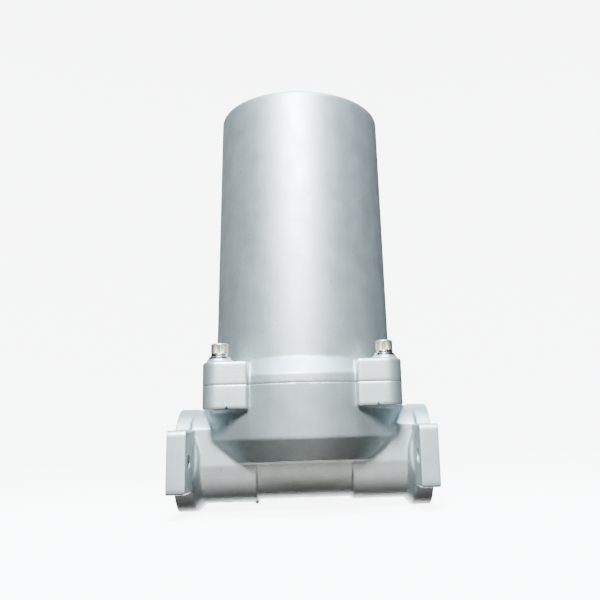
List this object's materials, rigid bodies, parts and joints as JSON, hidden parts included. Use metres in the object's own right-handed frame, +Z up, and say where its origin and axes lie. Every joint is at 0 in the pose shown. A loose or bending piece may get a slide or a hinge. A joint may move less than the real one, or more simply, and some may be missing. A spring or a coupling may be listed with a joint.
{
  "type": "inline cartridge filter housing",
  "caption": "Cast aluminium inline filter housing with flanged ports at both ends and an upright bolted bowl over a pleated element.",
  "frame": {"origin": "under the middle of the base, level with the flats of the two port collars", "axes": "+Z up along the bowl's axis, +X along the ports from inlet to outlet, -Y towards the front"},
  "size_m": [0.202, 0.166, 0.336],
  "materials": {
    "cast_aluminium": "raw sand-blasted casting",
    "zinc_steel": "zinc plated, pale yellow",
    "bright_steel": "zinc plated washers and plugs",
    "spring_steel": "oiled spring wire",
    "brass": "turned",
    "end_cap": "pressed and lacquered sheet",
    "perforated_steel": "perforated zinc plated sheet",
    "filter_paper": "resin-treated pleated paper",
    "seal_rubber": "nitrile rubber",
    "fibre": "fibre sealing ring"
  },
  "bodies": {
    "base": {"base_casting": "cast_aluminium", "inlet_face_seal": "seal_rubber", "outlet_face_seal": "seal_rubber", "bowl_seal": "seal_rubber", "element_spigot": "brass", "spigot_seal": "seal_rubber"},
    "bowl": {"bowl_casting": "cast_aluminium"},
    "hold_down": {"hold_down_plate": "bright_steel", "hold_down_spring": "spring_steel"},
    "element": {"lower_end_cap": "end_cap", "upper_end_cap": "end_cap", "pleated_pack": "filter_paper", "core_tube": "perforated_steel", "outer_guard": "perforated_steel", "bypass_cage": "bright_steel"},
    "bypass": {"bypass_valve": "brass", "bypass_spring": "spring_steel"},
    "vent_ring": {"vent_seal": "fibre"},
    "vent_plug": {"vent_plug": "bright_steel"},
    "drain_ring": {"drain_seal": "fibre"},
    "drain_plug": {"drain_plug": "bright_steel"},
    "washers_1": {"flat_washer_1": "bright_steel", "lock_washer_1": "bright_steel"},
    "screw_1": {"cap_screw_1": "zinc_steel"},
    "washers_2": {"flat_washer_2": "bright_steel", "lock_washer_2": "bright_steel"},
    "screw_2": {"cap_screw_2": "zinc_steel"},
    "washers_3": {"flat_washer_3": "bright_steel", "lock_washer_3": "bright_steel"},
    "screw_3": {"cap_screw_3": "zinc_steel"},
    "washers_4": {"flat_washer_4": "bright_steel", "lock_washer_4": "bright_steel"},
    "screw_4": {"cap_screw_4": "zinc_steel"}
  },
  "joints": [
    {"name": "bowl_lift", "type": "slide", "parent": "base", "child": "bowl", "axis": [0, 0, 1], "range_m": [0, 0.26]},
    {"name": "element_lift", "type": "slide", "parent": "base", "child": "element", "axis": [0, 0, 1], "range_m": [0, 0.04]},
    {"name": "hold_down_extend", "type": "slide", "parent": "bowl", "child": "hold_down", "axis": [0, 0, -1], "range_m": [0, 0.009], "deforming": ["hold_down_spring"]},
    {"name": "bypass_open", "type": "slide", "parent": "element", "child": "bypass", "axis": [0, 0, -1], "range_m": [0, 0.007], "stiffness_N_per_m": 300, "springref_m": -0.01, "deforming": ["bypass_spring"]},
    {"name": "screw_1_out", "type": "slide", "parent": "bowl", "child": "washers_1", "axis": [0, 0, 1], "range_m": [0, 0.0175]},
    {"name": "screw_1_turn", "type": "hinge", "parent": "washers_1", "child": "screw_1", "pos_m": [-0.063, -0.063, 0], "axis": [0, 0, 1], "range_deg": [0, 5042]},
    {"name": "screw_2_out", "type": "slide", "parent": "bowl", "child": "washers_2", "axis": [0, 0, 1], "range_m": [0, 0.0175]},
    {"name": "screw_2_turn", "type": "hinge", "parent": "washers_2", "child": "screw_2", "pos_m": [0.063, -0.063, 0], "axis": [0, 0, 1], "range_deg": [0, 5042]},
    {"name": "screw_3_out", "type": "slide", "parent": "bowl", "child": "washers_3", "axis": [0, 0, 1], "range_m": [0, 0.0175]},
    {"name": "screw_3_turn", "type": "hinge", "parent": "washers_3", "child": "screw_3", "pos_m": [0.063, 0.063, 0], "axis": [0, 0, 1], "range_deg": [0, 5042]},
    {"name": "screw_4_out", "type": "slide", "parent": "bowl", "child": "washers_4", "axis": [0, 0, 1], "range_m": [0, 0.0175]},
    {"name": "screw_4_turn", "type": "hinge", "parent": "washers_4", "child": "screw_4", "pos_m": [-0.063, 0.063, 0], "axis": [0, 0, 1], "range_deg": [0, 5042]},
    {"name": "vent_plug_out", "type": "slide", "parent": "bowl", "child": "vent_ring", "axis": [0, 0, 1], "range_m": [0, 0.012]},
    {"name": "vent_plug_turn", "type": "hinge", "parent": "vent_ring", "child": "vent_plug", "pos_m": [0, 0, 0], "axis": [0, 0, 1], "range_deg": [0, 2882]},
    {"name": "drain_plug_out", "type": "slide", "parent": "base", "child": "drain_ring", "axis": [0, 0, -1], "range_m": [0, 0.0075]},
    {"name": "drain_plug_turn", "type": "hinge", "parent": "drain_ring", "child": "drain_plug", "pos_m": [-0.062, 0, 0], "axis": [0, 0, -1], "range_deg": [0, 1802]}
  ],
  "couplings": [
    {"joint": "element_lift", "follows": "bowl_lift", "ratio": 0.15},
    {"joint": "hold_down_extend", "follows": "bowl_lift", "ratio": 0.03},
    {"joint": "screw_1_turn", "follows": "screw_1_out", "rad_per_m": 5026.5},
    {"joint": "screw_2_turn", "follows": "screw_2_out", "rad_per_m": 5026.5},
    {"joint": "screw_3_turn", "follows": "screw_3_out", "rad_per_m": 5026.5},
    {"joint": "screw_4_turn", "follows": "screw_4_out", "rad_per_m": 5026.5},
    {"joint": "vent_plug_turn", "follows": "vent_plug_out", "rad_per_m": 4188.8},
    {"joint": "drain_plug_turn", "follows": "drain_plug_out", "rad_per_m": 4188.8}
  ]
}
